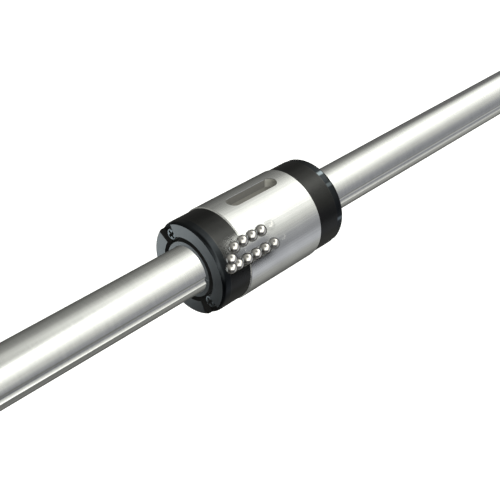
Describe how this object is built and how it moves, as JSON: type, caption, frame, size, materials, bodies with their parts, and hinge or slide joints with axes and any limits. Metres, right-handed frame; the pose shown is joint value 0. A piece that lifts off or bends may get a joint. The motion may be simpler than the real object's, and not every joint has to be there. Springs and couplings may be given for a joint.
{
  "type": "ball spline shaft",
  "caption": "Ball spline: a grooved steel shaft with a round keyed nut that slides along it on recirculating ball rows but can't turn.",
  "frame": {"origin": "middle of the nut, on the shaft's axis", "axes": "+X along the shaft towards its rear end, +Z from the axis through the middle of the nut's keyway, +Y towards the left ball circuit"},
  "size_m": [0.2, 0.016, 0.016],
  "materials": {
    "shaft_steel": "ground and polished",
    "cylinder_steel": "ground",
    "ball_steel": "polished",
    "screw_steel": "plated",
    "seal_plate": "smooth, grey-blue sheen",
    "wiper_rubber": "smooth",
    "return_piece": "moulded",
    "end_plate": "moulded, fine satin"
  },
  "bodies": {
    "nut": {"front_end_plate": "end_plate", "front_left_return_piece": "return_piece", "front_right_return_piece": "return_piece", "front_screws": "screw_steel", "front_seal_plate": "seal_plate", "front_wiper": "wiper_rubber", "left_load_ball_1": "ball_steel", "left_load_ball_2": "ball_steel", "left_load_ball_3": "ball_steel", "outer_cylinder": "cylinder_steel", "rear_end_plate": "end_plate", "rear_left_return_piece": "return_piece", "rear_right_return_piece": "return_piece", "rear_screws": "screw_steel", "rear_seal_plate": "seal_plate", "rear_wiper": "wiper_rubber", "right_load_ball_1": "ball_steel", "right_load_ball_2": "ball_steel", "right_load_ball_3": "ball_steel"},
    "shaft": {"spline_shaft": "shaft_steel"}
  },
  "joints": [
    {"name": "shaft_slide", "type": "slide", "parent": "nut", "child": "shaft", "axis": [1, 0, 0], "range_m": [-0.083, 0.083]}
  ]
}
